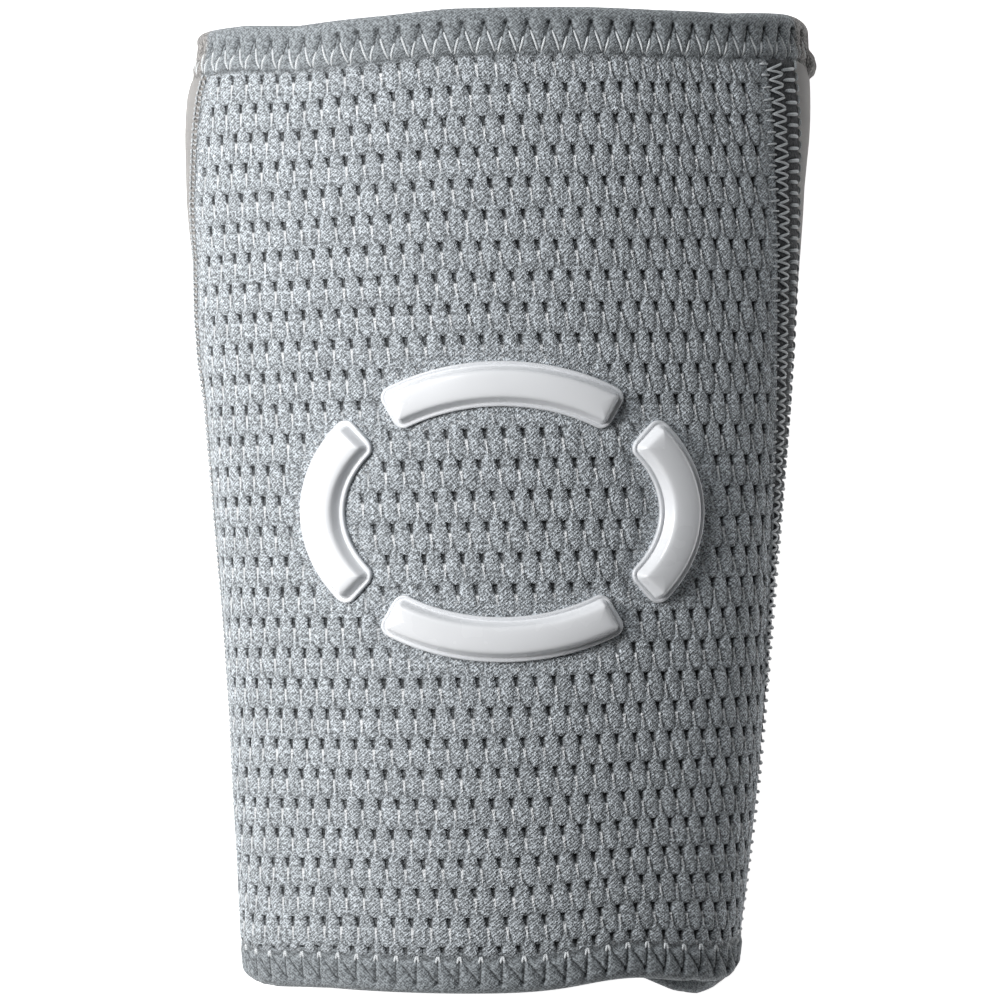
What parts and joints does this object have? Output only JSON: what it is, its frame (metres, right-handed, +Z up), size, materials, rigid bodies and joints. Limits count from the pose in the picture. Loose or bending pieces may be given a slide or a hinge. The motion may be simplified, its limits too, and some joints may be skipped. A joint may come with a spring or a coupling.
{
  "type": "wrist guard",
  "caption": "Padded stretch-knit wrist guard: a tapered tube open at both ends, lying on its back, with raised moulded strokes on the padded front.",
  "frame": {"origin": "middle of the bounding box's bottom, on the surface that the cuff lies on", "axes": "+Y along the cuff to the forearm end, +Z up out of the padded front, +X to the right seen from above"},
  "size_m": [0.0968, 0.1526, 0.0448],
  "materials": {
    "mesh_knit": "cool grey eyelet mesh knit",
    "stretch_knit": "plain warm grey stretch knit",
    "seam_thread": "overlocked grey thread",
    "hem_knit": "folded grey knit, zigzag stitched",
    "badge_rubber": "glossy white moulded"
  },
  "bodies": {
    "root": {"front_panel": "mesh_knit", "back_panel": "stretch_knit", "left_seam": "seam_thread", "right_seam": "seam_thread", "wrist_hem": "hem_knit", "forearm_hem": "hem_knit", "badge_arc_right": "badge_rubber", "badge_arc_top": "badge_rubber", "badge_arc_left": "badge_rubber", "badge_arc_bottom": "badge_rubber"}
  },
  "joints": []
}
